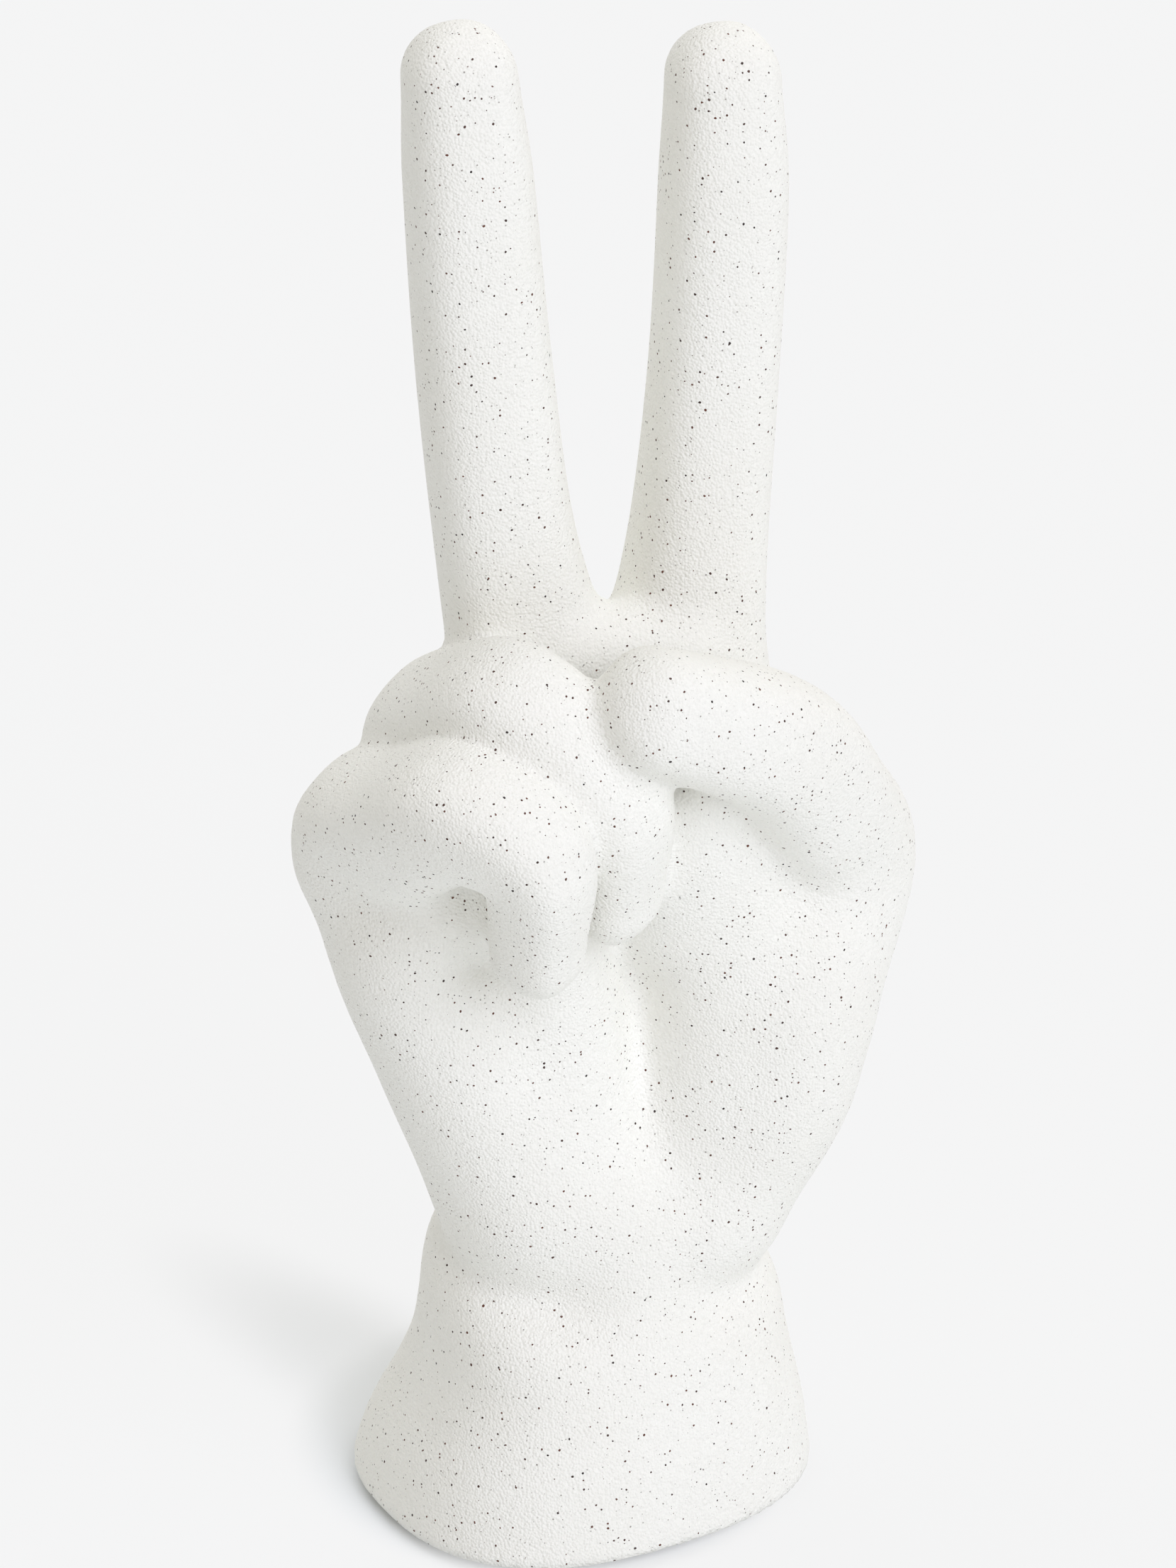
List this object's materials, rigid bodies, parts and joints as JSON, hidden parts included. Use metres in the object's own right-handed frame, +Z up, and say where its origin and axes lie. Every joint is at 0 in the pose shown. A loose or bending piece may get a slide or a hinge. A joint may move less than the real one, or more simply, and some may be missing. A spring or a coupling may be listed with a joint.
{
  "type": "hand sculpture",
  "caption": "Free-standing hollow stoneware hand giving the V sign, on a flared oval wrist with a felt sole, in a matte speckled white glaze.",
  "frame": {"origin": "middle of the felt sole's underside, on the ground", "axes": "+Z up along the raised fingers, -Y out of the palm, +X towards the thumb side"},
  "size_m": [0.1072, 0.0855, 0.271],
  "materials": {
    "glaze": "matte",
    "bare_stoneware": "matte",
    "felt": "matte"
  },
  "bodies": {
    "root": {"palm_and_wrist": "glaze", "index_finger": "glaze", "middle_finger": "glaze", "ring_finger": "glaze", "little_finger": "glaze", "thumb": "glaze", "foot_plate": "bare_stoneware", "felt_sole": "felt"}
  },
  "joints": []
}
